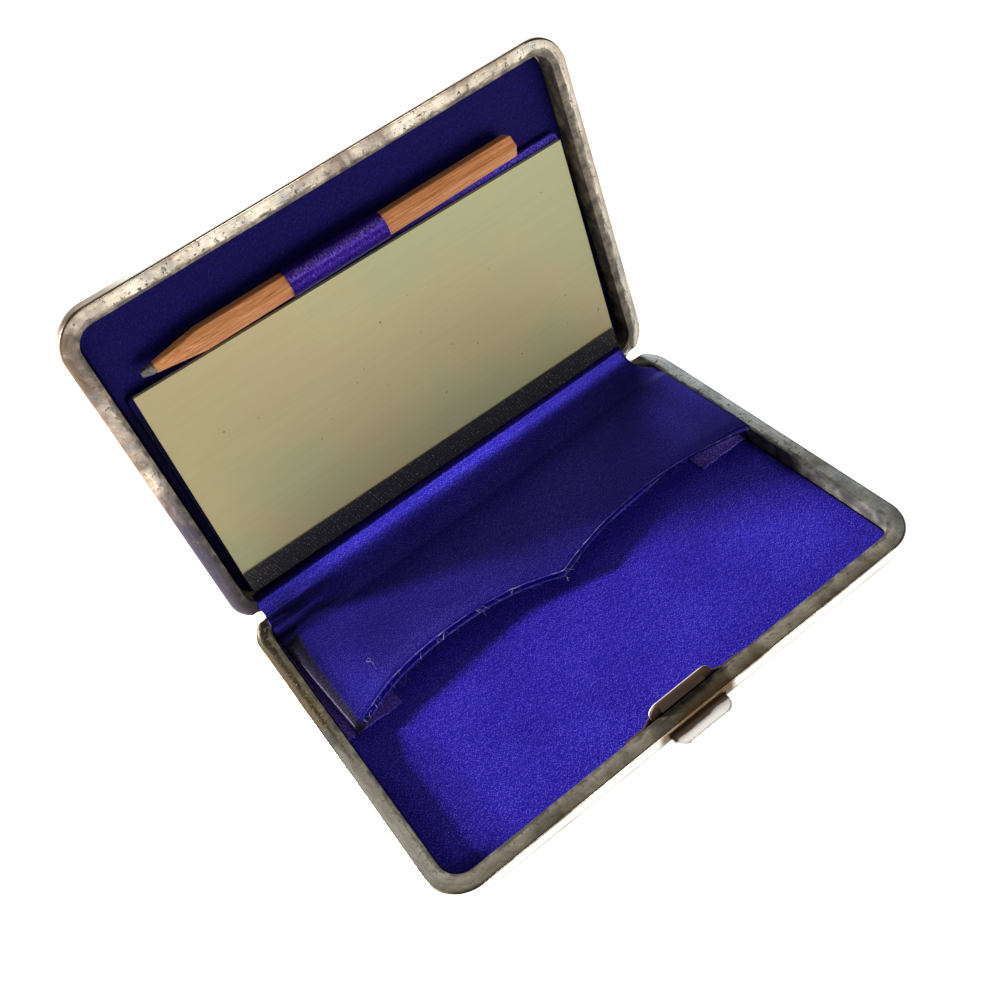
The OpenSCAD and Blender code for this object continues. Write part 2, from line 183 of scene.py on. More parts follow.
# %% Floor
bpy.ops.mesh.primitive_plane_add(size=6, location=(0, 0, 0))
floor = bpy.context.object
floor.name = "floor"
paper, tree, shader = new_finish("pale_paper")
grain = add(tree, "TexNoise", {"Scale": per(30), "Detail": 2.0})
tone = add(tree, "ValToRGB", {"Fac": grain}, stops=[(0.3, "#f4f3f1"), (0.7, "#fbfaf9")])
fill(tree, shader, {"Base Color": tone, "Emission Color": tone, "Emission Strength": 1.0, "Roughness": 0.9})
floor.data.materials.append(paper)
print("floor of pale paper")

# %% Lights
def soft_light(name, place, aim, size, watts, colour):
    data = bpy.data.lights.new(name, "AREA")
    data.size, data.energy, data.color = size, watts, linear(colour)[:3]
    lamp = bpy.data.objects.new(name, data)
    lamp.location = place
    lamp.rotation_euler = (Vector(aim) - Vector(place)).to_track_quat("-Z", "Y").to_euler()
    bpy.context.scene.collection.objects.link(lamp)


soft_light("window_left", (-1.3, 0.74, 0.5), (0, 0, 0.01), 0.17, 74, "#fff8f0")
soft_light("front_fill", (0.39, -1.33, 0.81), (0, 0, 0.03), 0.5, 6.8, "#fffbf7")
sky = bpy.data.worlds.new("dim_room")
bpy.context.scene.world = sky
sky.use_nodes = True
tree = sky.node_tree
way = add(tree, "TexCoord", out="Generated")
behind = add(tree, "VectorMath", {0: way, 1: (0.3, 0.68, 0.67)}, operation="DOT_PRODUCT")
room = add(tree, "ValToRGB", {"Fac": behind}, stops=[(0.0, "#4a4845"), (0.6, "#514f4b"), (0.82, "#6d6a64"),
                                                     (0.95, "#c6c2ba"), (1.0, "#dcd8d0")])
low = add(tree, "VectorMath", {0: way, 1: (0.25, 0.91, 0.31)}, operation="DOT_PRODUCT")
room = lay_colour(tree, room, (1.15, 1.14, 1.12, 1.0), (low, 0.78, 0.95))
fill(tree, tree.nodes["Background"], {"Color": room, "Strength": 1.0})
bpy.context.scene.view_settings.view_transform = "Standard"
print("two soft lights and a dim room")

# %% [markdown]
# ## Silver, pressed from sheet and worn
# Sterling sheet that was stamped, soldered and carried in pockets for a century. Clean silver is
# almost white. Tarnish starts as a warm film, turns brown, and stays black where a cloth can't
# reach: along the inner edge of the rim. So the tarnish follows the distance from that edge.
# The lid's places are turned back to where they are in the shut case, so one recipe fits both.

# %% Tarnished silver
opening_w, opening_d, opening_r, rim_w = 93.8, 65.8, 3.9, 3.1


def shut_place(tree):
    """Places on the open lid, as they are when the case is shut."""
    return add(tree, "VectorRotate", {"Vector": add(tree, "TexCoord", out="Object"), "Angle": lid_angle,
                                      "Center": (0, axis_y * MM, axis_z * MM)}, rotation_type="X_AXIS")


def tarnished_silver(name, open_lid, film_stops, crust_stops):
    material, tree, shader = new_finish(name)
    place = shut_place(tree) if open_lid else add(tree, "TexCoord", out="Object")
    spot = add(tree, "SeparateXYZ", {"Vector": place}).node.outputs
    inner = ((opening_w / 2 - opening_r) * MM, (opening_d / 2 - opening_r) * MM, 1)
    away = add(tree, "VectorMath", {0: place}, operation="ABSOLUTE")
    away = add(tree, "VectorMath", {0: away, 1: inner}, operation="SUBTRACT")
    away = add(tree, "VectorMath", {0: away, 1: (0, 0, 0)}, operation="MAXIMUM")
    away = add(tree, "VectorMath", {0: away}, operation="LENGTH")
    edge = share_of(tree, (away, opening_r, opening_r + rim_w), unit=MM)
    # Streaks run along the rim: slow along it, 0.5 mm apart across it.
    across = add(tree, "CombineXYZ", {"Z": share_of(tree, edge, 6.0)})
    flow = add(tree, "VectorMath", {0: place, 1: (per(4),) * 3, 2: across}, operation="MULTIPLY_ADD")
    streak = add(tree, "TexNoise", {"Vector": flow, "Scale": 1.0, "Detail": 6.0, "Roughness": 0.68,
                                    "Distortion": 0.3})
    # The flat outside, 5 mm from the rim, is wiped often and has an even grey film.
    off = add(tree, "Math", {0: spot["Z"], 1: axis_z * MM}, operation="SUBTRACT")
    off = add(tree, "Math", {0: off}, operation="ABSOLUTE")
    inside = share_of(tree, (off, 4.2, 4.6, 1, 0), unit=MM)
    inward = share_of(tree, (edge, 0, 1, 0.55, 0), inside)
    band = add(tree, "Math", {0: streak, 1: 0.55, 2: inward}, operation="MULTIPLY_ADD")
    cloud = add(tree, "TexNoise", {"Vector": place, "Scale": per(11), "Detail": 8.0, "Roughness": 0.66,
                                   "Distortion": 0.5})
    wiped = share_of(tree, (inside, 0, 1, -0.1, 0))
    if open_lid:
        # At the lid's right the black of the inner edge is drawn over half of the rim: tarnish, and painted
        # shade of the rounded rim.
        crept_and_shade = share_of(tree, (spot["X"], 42, 47, 0, 0.16), inside, unit=MM)
        band = add(tree, "Math", {0: band, 1: crept_and_shade}, operation="ADD")
        # Thumbs opened the lid at its left side, so the film is brownest there.
        left = share_of(tree, (spot["X"], -47, -37, 1, 0), unit=MM)
        low = share_of(tree, (spot["Y"], -4, 12, 0.03, 0.23), unit=MM)
        thumbed = add(tree, "Math", {0: left, 1: low, 2: -0.04}, operation="MULTIPLY_ADD")
        corner_film_and_shade = add(tree, "VectorMath", {0: place, 1: (-0.049, -0.033, 0.005)}, operation="DISTANCE")
        corner_film_and_shade = share_of(tree, (corner_film_and_shade, 5, 16, 0.2, 0), unit=MM)
    else:
        # The base is cleanest at the back. On the wall round the thumb piece the film is darkened: painted
        # shade.
        thumbed = share_of(tree, (spot["Y"], -15, 12, -0.01, -0.1), unit=MM)
        corner_film_and_shade = add(tree, "VectorMath", {0: place, 1: (-0.001, -0.036, 0.0045)}, operation="DISTANCE")
        corner_film_and_shade = share_of(tree, (corner_film_and_shade, 6.6, 8.6, 0.14, 0), unit=MM)
    for more in (thumbed, corner_film_and_shade, wiped):
        cloud = add(tree, "Math", {0: cloud, 1: more}, operation="ADD")
    film_and_shade = add(tree, "ValToRGB", {"Fac": cloud}, stops=zip((0.38, 0.47, 0.55, 0.64), film_stops))
    film_and_shade = lay_colour(tree, film_and_shade, "#8b867d", (inside, 0, 1, 0.85, 0))
    # Tarnish turns steel blue in places.
    blue = add(tree, "TexNoise", {"Vector": place, "Scale": per(8), "Detail": 5.0, "Roughness": 0.6})
    film_and_shade = lay_colour(tree, film_and_shade, "#828a90", (blue, 0.54, 0.62, 0, 0.5), inside)
    if open_lid:
        # The lid's outer edge has a brown line, where it is held. At the lid's lower left a violet
        # tone is a painted reflection of the silk.
        film_and_shade = lay_colour(tree, film_and_shade, "#8a7664", (edge, 0.6, 0.95, 0, 0.6))
        film_and_shade = lay_colour(tree, film_and_shade, "#4e4e68", (share_of(tree, left, low, inside), 0.06, 0.2, 0, 0.75))
    else:
        # Along the base's left side the film is ochre at the back, blue at the middle and gone at
        # the front. At the right it is thick and cool, and along the front thinner and warm.
        left = share_of(tree, (spot["X"], -46.5, -44.5, 1, 0), inside, unit=MM)
        wavy = add(tree, "Math", {0: cloud, 1: 14 * MM, 2: spot["Y"]}, operation="MULTIPLY_ADD")
        for start, end, colour, share in ((6, 3, "#e6e4da", 0.8), (6.8, 7.6, "#858c92", 0.5),
                                          (9.8, 10.8, "#b49a6c", 0.6)):
            film_and_shade = lay_colour(tree, film_and_shade, colour, (wavy, start, end, 0, share), left, unit=MM)
        cool = share_of(tree, (spot["X"], 44.5, 46.5), unit=MM)
        warm = share_of(tree, (spot["Y"], -30.5, -32.5), unit=MM)
        warm = add(tree, "Math", {0: warm, 1: cool}, operation="SUBTRACT", use_clamp=True)
        for share, tint in ((cool, (0.6, 0.68, 0.77, 1.0)), (warm, (0.77, 0.73, 0.66, 1.0))):
            film_and_shade = lay_colour(tree, film_and_shade, tint, share, inside, blend_type="MULTIPLY")
    film_and_shade = lay_colour(tree, film_and_shade, "#78736b", (band, 0.46, 0.5, 0, 0.35))
    speck = add(tree, "TexNoise", {"Vector": place, "Scale": per(0.7), "Detail": 4.0, "Roughness": 0.65})
    speck = add(tree, "Math", {0: inward, 1: 0.24, 2: speck}, operation="MULTIPLY_ADD")
    dirt = add(tree, "Math", {0: share_of(tree, (band, 0.66, 0.76, 0, 0.9)),
                              1: share_of(tree, (speck, 0.655, 0.69, 0, 0.85))}, operation="MAXIMUM")
    crust = add(tree, "TexNoise", {"Vector": place, "Scale": per(2.5), "Detail": 5.0, "Roughness": 0.65})
    crust = add(tree, "ValToRGB", {"Fac": crust}, stops=zip((0.4, 0.5, 0.62), crust_stops))
    colour = lay_colour(tree, film_and_shade, crust, dirt)
    # A painted highlight runs along the outer edge, away from the darker corner.
    colour = lay_colour(tree, colour, "#fffcf6", (edge, 0.96, 0.995), (corner_film_and_shade, 0, 0.1, 1, 0))
    dull = add(tree, "Math", {0: cloud, 1: dirt}, operation="MAXIMUM")
    rough = share_of(tree, (dull, 0.3, 1, 0.14, 0.6))
    # The rim is worn to a faint dome, and dented. Heights are in millimetres.
    slope = add(tree, "Math", {0: edge, 1: 0.5}, operation="SUBTRACT")
    dome = share_of(tree, slope, slope)
    dent = add(tree, "TexNoise", {"Vector": place, "Scale": per(4), "Detail": 5.0, "Roughness": 0.5})
    height = add(tree, "Math", {0: dome, 1: -0.5, 2: share_of(tree, dent, 0.12)}, operation="MULTIPLY_ADD")
    # Thick tarnish is an oxide crust and no longer a mirror.
    bare = share_of(tree, (dirt, 0, 1, 1, 0.1))
    dress(tree, shader, {"Base Color": colour, "Roughness": rough, "Metallic": bare}, height, 1.0)
    return material


silver_base = tarnished_silver("sterling_sheet_base", False, ["#dad8d0", "#c2beb4", "#9b948a", "#75634d"],
                               ["#2a2928", "#4c4944", "#77736a"])
silver_lid = tarnished_silver("sterling_sheet_lid", True, ["#dcd5c6", "#c9bfae", "#a0948a", "#5c4e44"],
                              ["#332e2a", "#5a5044", "#8a7f68"])
print("tarnished silver for the base and the lid")

# %% [markdown]
# The catch is handled every time the case is opened, so it stays polished. On the thumb piece the
# brown next to the rim is painted shade, the rim's dark reflection. The tongue keeps a brown film,
# where no thumb rubs, and has a painted highlight along its top edge.

# %% Polished silver
highlight_low = 5.3


def handled_silver(name, clean, film_and_shade, film_from, film_to, metallic, dull, painted_highlight=None):
    material, tree, shader = new_finish(name)
    place = add(tree, "TexCoord", out="Object")
    spot = add(tree, "SeparateXYZ", {"Vector": place}).node.outputs
    cloud = add(tree, "TexNoise", {"Vector": place, "Scale": per(5), "Detail": 4.0, "Distortion": 0.5})
    near = share_of(tree, (spot["Y"], film_from, film_to), unit=MM)
    near = add(tree, "Math", {0: cloud, 1: 0.7, 2: near}, operation="MULTIPLY_ADD")
    colour = lay_colour(tree, clean, film_and_shade, (near, 0.6, 0.75))
    if painted_highlight:
        # A painted highlight: a bright line along the far top edge.
        high = add(tree, "Math", {0: spot["Z"], 1: highlight_low * MM}, operation="GREATER_THAN")
        colour = lay_colour(tree, colour, "#fff4e6", (spot["Y"], painted_highlight - 0.14, painted_highlight - 0.1), high, unit=MM)
    scratch = add(tree, "TexNoise", {"Vector": place, "Scale": per(1.5), "Detail": 5.0})
    rough = share_of(tree, (cloud, 0.3, 0.8, dull, dull + 0.2))
    dress(tree, shader, {"Base Color": colour, "Roughness": rough, "Metallic": metallic}, scratch, 0.02)
    return material


def coat(material, *nodes):
    for node in nodes:
        frame["nodes"][node].data.materials.clear()
        frame["nodes"][node].data.materials.append(material)


silver_thumb = handled_silver("sterling_polished", "#ffffff", "#6f5a49", -37.8, -36.0, 0.55, 0.22)
silver_tongue = handled_silver("sterling_brown_film", "#6b5240", "#4a382b", -34, -32, 0.25, 0.6, painted_highlight=-31.85)
coat(silver_base, "base_shell", "base_rim", "base_knuckles", "hinge_pin")
coat(silver_lid, "lid_shell", "lid_rim", "lid_knuckles")
coat(silver_thumb, "thumb_piece")
coat(silver_tongue, "catch_tongue")
print("silver on the trays, the hinge and the catch")

# %% [markdown]
# ## Silk satin
# Satin shows long loose threads on its face, so it shines along them in the colour of its dye.
# A part-metallic shader gives a coloured shine. The threads are far finer than a pixel, so groups
# of them are drawn about 0.16 mm wide and 0.3 mm long, which is the sparkle that the eye catches.

# %% Satin
weave_turn = math.radians(10)


def silk_satin(name, deep, dye, shine, slub=(0.16, 0.3), lint=0.775, rough=0.42, metallic=0.5, age=None):
    material, tree, shader = new_finish(name)
    cloth = add(tree, "TexCoord", out="UV")
    thread = add(tree, "Mapping", {"Vector": cloth, "Rotation": (0, 0, weave_turn),
                                   "Scale": (per(slub[0]), per(slub[1]), 1)})
    slubs = add(tree, "TexNoise", {"Vector": thread, "Scale": 1.0, "Detail": 3.0, "Roughness": 0.7})
    group = add(tree, "TexNoise", {"Vector": cloth, "Scale": per(0.9), "Detail": 2.0})
    group = add(tree, "Math", {0: group, 1: 0.12, 2: -0.06}, operation="MULTIPLY_ADD")
    slubs = add(tree, "Math", {0: slubs, 1: group}, operation="ADD")
    colour = add(tree, "ValToRGB", {"Fac": slubs},
                 stops=[(0.36, deep), (0.46, dye), (0.53, dye), (0.66, shine)])
    fade = add(tree, "TexNoise", {"Vector": cloth, "Scale": per(14), "Detail": 3.0})
    dim = lay_colour(tree, colour, deep, 0.35)
    colour = lay_colour(tree, colour, dim, (fade, 0.35, 0.7))
    fluff = add(tree, "TexNoise", {"Vector": cloth, "Scale": per(1.1), "Detail": 4.0, "Roughness": 0.75})
    colour = lay_colour(tree, colour, "#8d86c9", (fluff, lint, lint + 0.03))
    if age:
        colour = age(tree, shader, cloth, slubs, colour)
    dress(tree, shader, {"Base Color": colour, "Metallic": metallic, "Roughness": rough,
                         "Specular IOR Level": 0.05}, slubs, 0.05, 0.8)
    return material


# %% [markdown]
# The pocket's silk is the most worn. A dark wedge along the left side, which rubs on the rim, is
# dye worn off and also painted shade of the curled edge. At the left end of the hinge a painted
# shade dulls the lit band in the gutter. Towards the right the silk is drawn darker and duller, and
# a painted sheen lies where it bends down to the left half of the bow-shaped edge. At both sides of
# the lid's silk a painted shade darkens it below the top, and behind the leaf a painted highlight
# lies on its top at the right. The pencil's loop has a painted highlight along its crest. All
# reaches are in millimetres.

# %% Wear, light and shade on the silk
bow_middle, bow_radius = 21.65, 57.4


def pocket_wear_and_light(tree, shader, cloth, slubs, colour):
    side = add(tree, "SeparateXYZ", {"Vector": cloth}).node.outputs
    spot = add(tree, "SeparateXYZ", {"Vector": add(tree, "TexCoord", out="Object")}).node.outputs
    off = add(tree, "Math", {0: spot["X"], 1: bow_middle * MM}, operation="ADD")
    gap = add(tree, "Math", {0: share_of(tree, off, off), 1: per(2 * bow_radius), 2: spot["Y"]},
              operation="MULTIPLY_ADD")
    # Painted sheen where the silk bends down to the left half of the bow-shaped edge.
    painted_sheen = add(tree, "ValToRGB", {"Fac": slubs},
                stops=[(0.36, "#2620a8"), (0.5, "#4038e0"), (0.66, "#8c82ff")])
    colour = lay_colour(tree, colour, painted_sheen, (gap, 6.4, 7.2), (gap, 7.6, 10.2, 1, 0), (spot["X"], -43, -37),
                   (spot["X"], -18, -2, 0.5, 0), unit=MM)
    # Darker and duller towards the right, most at the right front.
    colour = lay_colour(tree, colour, "#2a2470", (side["X"], 8, 40, 0, 0.5), unit=MM)
    colour = lay_colour(tree, colour, "#1c1848", (side["X"], 12, 34), (side["Y"], 24, 34, 0, 0.5), unit=MM)
    # Painted shade at the left end of the gutter, which narrows the lit band there.
    shade_streaks = add(tree, "Mapping", {"Vector": cloth, "Scale": (per(7), per(0.5), 1)})
    shade_streaks = add(tree, "TexNoise", {"Vector": shade_streaks, "Scale": 1.0, "Detail": 3.0})
    shade_streaks = share_of(tree, (shade_streaks, 0.4, 0.65, 0.95, 0.6))
    colour = lay_colour(tree, colour, "#15123f", (side["X"], -39, -28, 1, 0), (side["Y"], 11, 14, 1, 0),
                   (side["Y"], 3.2, 5.0, 0.55, 1), shade_streaks, unit=MM)
    # A dark wedge along the left side: dye worn off, and painted shade of the curled edge.
    width = share_of(tree, (side["Y"], 13, 44, 2.6 * MM, 0.6 * MM), unit=MM)
    wedge = add(tree, "Math", {0: width, 1: side["X"]}, operation="SUBTRACT")
    rag = add(tree, "TexNoise", {"Vector": cloth, "Scale": per(2), "Detail": 5.0, "Roughness": 0.7})
    wedge = add(tree, "Math", {0: rag, 1: 1.6 * MM, 2: wedge}, operation="MULTIPLY_ADD")
    worn_and_shaded = share_of(tree, (wedge, 46.0, 46.8), (side["Y"], 11.5, 13), unit=MM)
    bare = add(tree, "ValToRGB", {"Fac": slubs},
               stops=[(0.4, "#201e32"), (0.56, "#302e46"), (0.68, "#756f90")])
    fill(tree, shader, {"Metallic": share_of(tree, (worn_and_shaded, 0, 1, 0.88, 0.2))})
    return lay_colour(tree, colour, bare, worn_and_shaded)


def lid_side_shade(tree, shader, cloth, slubs, colour):
    spot = add(tree, "SeparateXYZ", {"Vector": add(tree, "TexCoord", out="Object")}).node.outputs
    # Painted shade at both sides of the silk, below the top.
    off = add(tree, "Math", {0: spot["X"]}, operation="ABSOLUTE")
    return lay_colour(tree, colour, "#06041a", (off, 42.6, 43.6), (spot["Z"], 52, 58, 0.9, 0), unit=MM)


def backing_light_and_shade(tree, shader, cloth, slubs, colour):
    spot = add(tree, "SeparateXYZ", {"Vector": add(tree, "TexCoord", out="Object")}).node.outputs
    # Painted highlight on the rolled top edge at the right. The sides get the lid's painted shade.
    painted_lit_top = add(tree, "ValToRGB", {"Fac": slubs},
                stops=[(0.4, "#1f1670"), (0.5, "#3a2ba0"), (0.66, "#7a66e0")])
    colour = lay_colour(tree, colour, painted_lit_top, (spot["X"], 8, 30), (spot["Z"], 52, 54, 0, 0.8), unit=MM)
    return lid_side_shade(tree, shader, cloth, slubs, colour)


def loop_highlight(tree, shader, cloth, slubs, colour):
    # Painted highlight along the crest of the ribbon.
    around = add(tree, "SeparateXYZ", {"Vector": cloth}, out="Y")
    painted_highlight = add(tree, "ValToRGB", {"Fac": slubs},
                stops=[(0.36, "#3a2296"), (0.5, "#6a48da"), (0.64, "#b49cff")])
    return lay_colour(tree, colour, painted_highlight, (around, 3.4, 4.3), (around, 4.5, 5.6, 1, 0), 0.75, unit=MM)


# %% Silk finishes
silk_floor = silk_satin("silk_satin_bright", "#120a68", "#241aac", "#8070ff", metallic=0.15)
silk_pocket = silk_satin("silk_satin_pocket", "#1a147c", "#3029be", "#8478ff", lint=0.74, rough=0.4,
                         metallic=0.88, age=pocket_wear_and_light)
shaded = ("#0b0732", "#110c46", "#221a74", (0.2, 0.6))
silk_backing = silk_satin("silk_satin_backing", *shaded, age=backing_light_and_shade)
silk_lid = silk_satin("silk_satin_shaded", *shaded, age=lid_side_shade)
silk_loop = silk_satin("silk_ribbon", "#1a0d50", "#2f1a7c", "#6646cc", slub=(0.18, 0.7), rough=0.36,
                       metallic=0.55, age=loop_highlight)
# The frayed folds lie in the flap's shadow, so their brighter dye is painted light.
silk_fold_painted_lit = silk_satin("silk_frayed_painted_lit", "#36229c", "#6c50dc", "#ccbcff", slub=(0.16, 0.5), lint=0.7, rough=0.5)
print("six silk finishes")

# %% [markdown]
# ## Cloth from rows of points
# Every soft piece is a grid of points: rows along the cloth, columns across it. A grid is easy to
# bend, it keeps its threads straight, and its rows give the weave real lengths. A solidify step
# then gives the cloth its thickness.

# %% Helpers for cloth
def new_piece(name, mesh, material):
    mesh.shade_smooth()
    mesh.materials.append(material)
    piece = bpy.data.objects.new(name, mesh)
    bpy.context.scene.collection.objects.link(piece)
    return piece


def grid_piece(name, grid, material, closed=False):
    rows, cols = grid.shape[:2]
    index = np.arange(rows * cols).reshape(rows, cols)
    if closed:
        index = np.concatenate([index, index[:, :1]], 1)
    faces = np.stack([index[:-1, :-1], index[1:, :-1], index[1:, 1:], index[:-1, 1:]], -1).reshape(-1, 4)
    mesh = bpy.data.meshes.new(name)
    mesh.from_pydata((grid.reshape(-1, 3) * MM).tolist(), [], faces.tolist())
    along = np.zeros((rows, cols))
    along[1:] = np.cumsum(np.linalg.norm(np.diff(grid, axis=0), axis=2), axis=0)
    across = np.zeros((rows, cols))
    across[:, 1:] = np.cumsum(np.linalg.norm(np.diff(grid, axis=1), axis=2), axis=1)
    across = across - across[:, cols // 2 : cols // 2 + 1]
    flat = np.stack([across, along], -1).reshape(-1, 2) * MM
    layer = mesh.uv_layers.new(name="cloth")
    corners = np.zeros(len(mesh.loops), np.int32)
    mesh.loops.foreach_get("vertex_index", corners)
    layer.data.foreach_set("uv", flat[corners].astype(np.float32).ravel())
    return new_piece(name, mesh, material)


def thicken(piece, thickness):
    solid = piece.modifiers.new("thickness", "SOLIDIFY")
    solid.thickness, solid.offset = thickness * MM, -1
    shown = piece.evaluated_get(bpy.context.evaluated_depsgraph_get())
    mesh = bpy.data.meshes.new_from_object(shown)
    piece.modifiers.clear()
    piece.data = mesh


def path_lengths(grid):
    return np.linalg.norm(np.diff(grid, axis=0), axis=2).sum(0)


def stand_in(piece, body, slot, *nodes):
    """Fix a piece to its body and hide the CAD nodes it replaces. The slot, for what it is made of, is not
    used.
    """
    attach(piece, body)
    if nodes:
        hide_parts(*nodes)


def ripple(x, y, size, seed):
    pick = np.random.default_rng(seed)
    total = 0
    for _ in range(8):
        way, wave = pick.uniform(0, 2 * math.pi), size * pick.uniform(0.7, 1.6)
        start = pick.uniform(0, 2 * math.pi)
        total = total + np.sin(2 * math.pi / wave * (x * math.cos(way) + y * math.sin(way)) + start)
    return total / 4


def smooth(value, low, high):
    t = np.clip((np.asarray(value, float) - low) / (high - low), 0, 1)
    return t * t * (3 - 2 * t)


def through(points, count):
    """Rows of a smooth curve through the given rows of points."""
    points = np.asarray(points, float)
    ends = np.concatenate([2 * points[:1] - points[1:2], points, 2 * points[-1:] - points[-2:-1]])
    rows = []
    for i in range(len(points) - 1):
        a, b, c, e = ends[i : i + 4]
        for t in np.linspace(0, 1, count, endpoint=False):
            rows.append(b + t / 2 * (c - a) + t * t * (a - 2.5 * b + 2 * c - 0.5 * e)
                        + t**3 * (1.5 * b - 0.5 * a - 1.5 * c + 0.5 * e))
    return np.array(rows + [points[-1]])


# %% [markdown]
# ## Linings
# A card covered with silk is pushed into each tray. The silk is pulled over the card's edge and
# glued behind, so it is flat, a little uneven, and rolls down beside the metal.
# Points sit close together along the edge, where the roll is, and far apart inside.

# %% Silk over a card
def covered_card(w, d, r, roll, fall=0.0, step=1.1):
    near = np.array([0, 0.05, 0.12, 0.22, 0.36, 0.55, 0.85, 1.4, 2.3])

    def spread(size):
        inside = np.linspace(near[-1], size - near[-1], int((size - 2 * near[-1]) / step))[1:-1]
        return np.concatenate([[0], near, inside, (size - near)[::-1], [size]]) - size / 2

    y, x = np.meshgrid(spread(d), spread(w), indexing="ij")
    half = w / 2 - r + np.sqrt(r * r - np.clip(np.abs(y) - d / 2 + r, 0, r) ** 2)
    x = x / (w / 2) * half
    qx, qy = np.abs(x) - w / 2 + r, np.abs(y) - d / 2 + r
    inset = r - np.hypot(np.maximum(qx, 0), np.maximum(qy, 0)) - np.minimum(np.maximum(qx, qy), 0)
    short = np.clip(roll - inset, 0, roll)
    z = np.sqrt(roll * roll - short * short) - roll
    z[[0, -1], :] -= fall
    z[1:-1, [0, -1]] -= fall
    return x, y, z, inset


# %% Linings of both trays
lining_z, lining_w, lining_d, lining_r = 1.62, 93.5, 65.5, 3.75
lining_roll, lining_t = 0.45, 0.15
x, y, z, inset = covered_card(lining_w, lining_d, lining_r, lining_roll)
swell = smooth(inset, 0.4, 5)
# The base's card has warped up along the left wall, in front of the pocket.
warped = 0.9 * smooth(-x, 34, 43) * smooth(inset, 0.1, 3) * smooth(-y, 2, 9)
z_base = z + lining_z + swell * (0.05 + 0.05 * ripple(x, y, 16, 3)) + warped
z_lid = z + lining_z + swell * (0.05 + 0.05 * ripple(x, y, 13, 8))
for body, grid, silk, slot in (("base", np.stack([x, y, z_base], -1)[::-1], silk_floor, "silk_bright"),
                               ("lid", on_lid(x, axis_y - y, z_lid)[::-1, ::-1], silk_lid, "silk_dark")):
    lining = grid_piece(body + "_lining", grid, silk)
    thicken(lining, lining_t)
    stand_in(lining, body, slot, body + "_lining_silk")
print("two linings of", lining_w, "by", lining_d, "mm")

# %% [markdown]
# ## Pasteboard
# Grey-brown board under the silk. It only shows at cut edges, as a dry, fibrous surface.

# %% Pasteboard
board, tree, shader = new_finish("pasteboard")
fibre = add(tree, "TexNoise", {"Vector": add(tree, "TexCoord", out="Object"), "Scale": per(0.8),
                               "Detail": 4.0})
tone = add(tree, "ValToRGB", {"Fac": fibre}, stops=[(0.3, "#8d7650"), (0.7, "#b89f73")])
dress(tree, shader, {"Base Color": tone, "Roughness": 0.9}, fibre, 0.05)
coat(board, "base_lining_card", "lid_lining_card", "tablet_backing_card")
print("pasteboard on the cards")

# %% [markdown]
# ## The pocket's flap
# The flap is a stiff card with two hollows cut in its front edge, which make the bow shape. It
# leans a little and sits off centre, so its points are given along the flap and then placed.

# %% Shape of the flap
flap_w, flap_len, flap_back, flap_shift = 91.0, 28.6, 5.0, 1.1
flap_lift, flap_t, flap_rise = 1.55, 0.5, 1.0
flap_slope, flap_lean = math.radians(-2.2), math.radians(-1.1)
hollow_left, hollow_right = 4.7, 4.3


def on_flap(x, forward, up):
    x, forward, up = np.broadcast_arrays(x, forward, up)
    y = -forward * math.cos(flap_slope) - up * math.sin(flap_slope)
    z = -forward * math.sin(flap_slope) + up * math.cos(flap_slope)
    level = z * math.cos(flap_lean) - x * math.sin(flap_lean)
    x = x * math.cos(flap_lean) + z * math.sin(flap_lean)
    return np.stack([x + flap_shift, y + axis_y - flap_back, level + lining_z + flap_lift], -1)


def flap_front(x):
    deep = np.where(x < 0, hollow_left, hollow_right)
    radius = (flap_w**2 / 16 + deep**2) / (2 * deep)
    off = np.abs(x) - flap_w / 4
    return flap_len + radius - deep - np.sqrt(radius**2 - off**2)


def warp(x, forward):
    """Rise of the flap behind its left hollow."""
    return flap_rise * smooth(x, -45, -34) * (1 - smooth(x, -12, 2)) * smooth(forward, 6, 22)


print("flap of", flap_w, "by", flap_len, "mm, with hollows of", hollow_left, "and", hollow_right, "mm")

# %% [markdown]
# The card inside the flap has warped: its edge stands about 1 mm higher between the left corner and
# the point of the bow. The edge and its shadow in the photo give this height, and a hollow of 4.7 mm.

# %% Warped card
card_back = 0.3
x = np.linspace(-flap_w / 2, flap_w / 2 - 0.1, 120)
forward = card_back + np.linspace(0, 1, 40)[:, None] * (flap_front(x) - card_back)
flap_card = grid_piece("flap_card", on_flap(x, forward, flap_t + warp(x, forward)), board)
thicken(flap_card, flap_t)
stand_in(flap_card, "base", "card", "pocket_flap_card")
print("card of the flap, warped by up to", round(float(warp(x, forward).max()), 2), "mm")

# %% [markdown]
# ## The pocket's silk
# One length of silk hangs from under the tablet's binding, crosses the hinge in a gutter, falls to
# the back of the pocket's flap, covers the flap and turns in round its bow-shaped front edge.
# First comes the gutter. Its section falls steeply from the hinge and flattens towards the flap.

# %% Silk from the lid to the flap
columns, gutter_len, gutter_steps = 150, 10.2, 40
side_x = -flap_w / 2 - np.array([0.36, 0.35, 0.3, 0.16])
x = np.concatenate([side_x, np.linspace(-flap_w / 2, flap_w / 2, columns)])
hang = np.concatenate([[1.1, 0.6, 0.26, 0.06], np.zeros(columns)])
lean = -math.sin(flap_lean)
pinch = smooth(-x, 27, 44)
flare = 1.5 * smooth(-x, 25, 45)
shy = 1.7 * smooth(x, 25, 45)
t = np.linspace(0, 1, gutter_steps + 1)
steep = math.radians(62) * smooth(t, -0.03, 0.1) * (1 - np.clip((t - 0.06) / 0.94, 0, 1)) ** 1.35
run = np.concatenate([[0], np.cumsum(np.cos(steep[:-1]))]) * gutter_len / gutter_steps - 0.79
fall = np.concatenate([[0], np.cumsum(np.sin(steep[:-1]))]) * gutter_len / gutter_steps
section = [(-2.6, 3.1), (-1.6, 3.3)] + list(zip(run[::2], 3.26 - fall[::2]))
gutter = []
